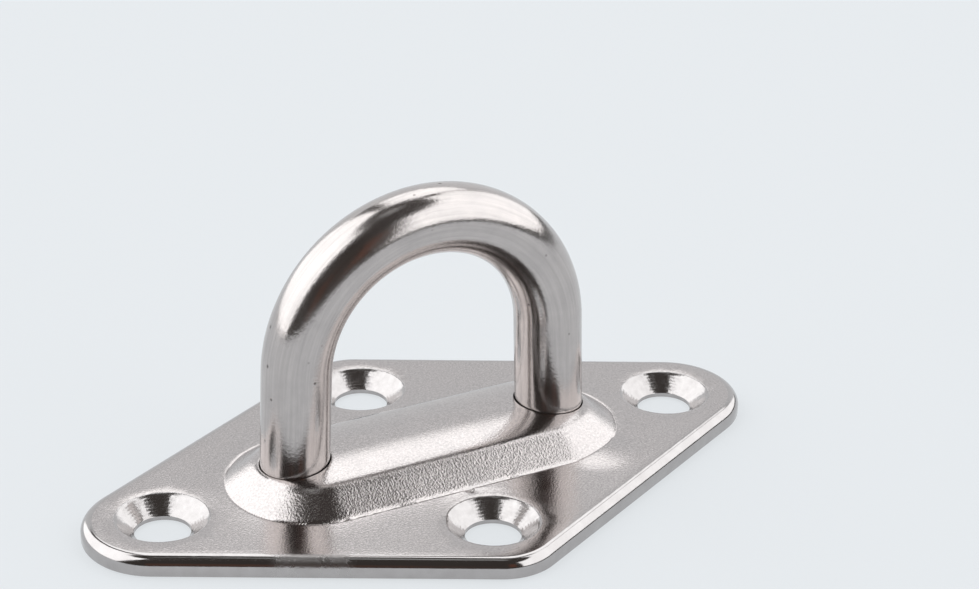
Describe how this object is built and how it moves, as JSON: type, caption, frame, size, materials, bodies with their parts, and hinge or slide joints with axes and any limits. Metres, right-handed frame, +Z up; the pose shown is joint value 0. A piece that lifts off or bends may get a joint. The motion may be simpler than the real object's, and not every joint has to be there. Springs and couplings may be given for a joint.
{
  "type": "pad eye",
  "caption": "Diamond-shaped stainless pad eye: a U-shaped round bar welded through a raised boss on a screw-down base plate.",
  "frame": {"origin": "centre of the base plate's flat underside, midway between the legs of the eye", "axes": "+X along the plate's long diagonal, in the plane of the eye; +Y along the short diagonal; +Z up through the eye, away from the mounting surface"},
  "size_m": [0.0836, 0.0522, 0.0362],
  "materials": {
    "stamped_steel": "stainless sheet, pickled and lightly polished, satin with a fine grain",
    "drawn_steel": "stainless round bar, polished to a soft mirror with faint draw lines",
    "weld_steel": "stainless weld, rippled, with a faint heat tint"
  },
  "bodies": {
    "root": {"base_plate": "stamped_steel", "eye_bar": "drawn_steel", "weld_bead_left": "weld_steel", "weld_bead_right": "weld_steel"}
  },
  "joints": []
}
